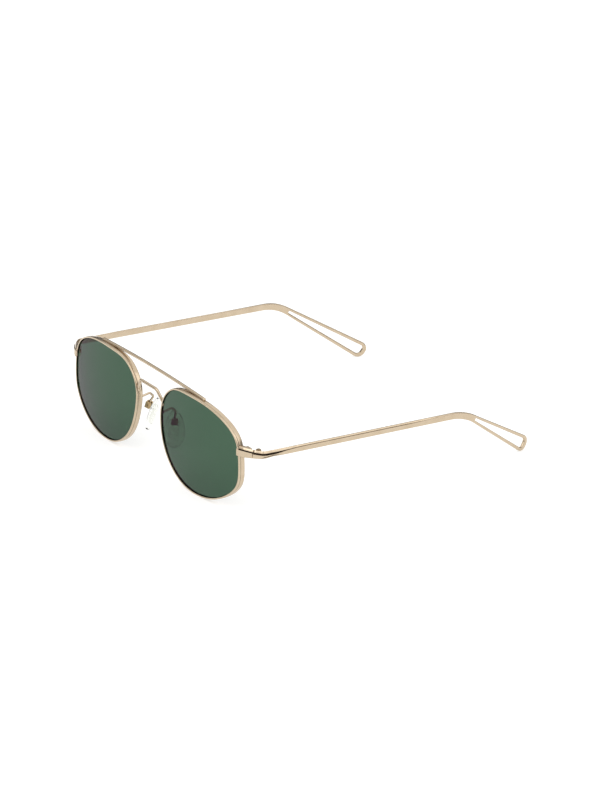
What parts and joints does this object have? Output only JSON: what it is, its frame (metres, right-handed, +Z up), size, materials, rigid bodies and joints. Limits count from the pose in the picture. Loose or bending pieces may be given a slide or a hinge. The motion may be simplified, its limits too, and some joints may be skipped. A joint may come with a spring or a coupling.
{
  "type": "aviator sunglasses",
  "caption": "Wire-framed aviator sunglasses with a straight brow bar, tinted lenses, rocking nose pads and folding temples that end in open loops.",
  "frame": {"origin": "middle of the bounding box, on the surface the sunglasses stand on", "axes": "+X towards the wearer's left, +Y back along the temples, +Z up"},
  "size_m": [0.1442, 0.1415, 0.0424],
  "materials": {
    "gold_metal": "polished, pale gold",
    "screw_metal": "polished, pale gold",
    "tinted_lens": "polished, grey-green tint",
    "pad_box_metal": "satin",
    "pad_core": "clear",
    "clear_silicone": "clear, smooth"
  },
  "bodies": {
    "front": {"brow_bar": "gold_metal", "bridge": "gold_metal", "rim_left": "gold_metal", "lens_left": "tinted_lens", "endpiece_left": "gold_metal", "rim_lock_upper_left": "gold_metal", "rim_lock_lower_left": "gold_metal", "rim_screw_left": "screw_metal", "hinge_front_left": "gold_metal", "hinge_screw_left": "screw_metal", "pad_arm_left": "gold_metal", "pad_box_left": "pad_box_metal", "pad_screw_left": "screw_metal", "rim_right": "gold_metal", "lens_right": "tinted_lens", "endpiece_right": "gold_metal", "rim_lock_upper_right": "gold_metal", "rim_lock_lower_right": "gold_metal", "rim_screw_right": "screw_metal", "hinge_front_right": "gold_metal", "hinge_screw_right": "screw_metal", "pad_arm_right": "gold_metal", "pad_box_right": "pad_box_metal", "pad_screw_right": "screw_metal"},
    "temple_left": {"temple_left": "gold_metal", "hinge_temple_left": "gold_metal"},
    "temple_right": {"temple_right": "gold_metal", "hinge_temple_right": "gold_metal"},
    "nose_pad_left": {"nose_pad_left": "clear_silicone", "pad_core_left": "pad_core"},
    "nose_pad_right": {"nose_pad_right": "clear_silicone", "pad_core_right": "pad_core"}
  },
  "joints": [
    {"name": "fold_left", "type": "hinge", "parent": "front", "child": "temple_left", "pos_m": [0.0683, -0.0605, 0.0274], "axis": [0, 0, 1], "range_deg": [0, 88]},
    {"name": "fold_right", "type": "hinge", "parent": "front", "child": "temple_right", "pos_m": [-0.0683, -0.0605, 0.0274], "axis": [0, 0, -1], "range_deg": [0, 83]},
    {"name": "rock_pad_left", "type": "hinge", "parent": "front", "child": "nose_pad_left", "pos_m": [0.01073, -0.06278, 0.02148], "axis": [0.5, 0.866, 0], "range_deg": [-6, 6]},
    {"name": "rock_pad_right", "type": "hinge", "parent": "front", "child": "nose_pad_right", "pos_m": [-0.01073, -0.06278, 0.02148], "axis": [0.5, -0.866, 0], "range_deg": [-6, 6]}
  ]
}
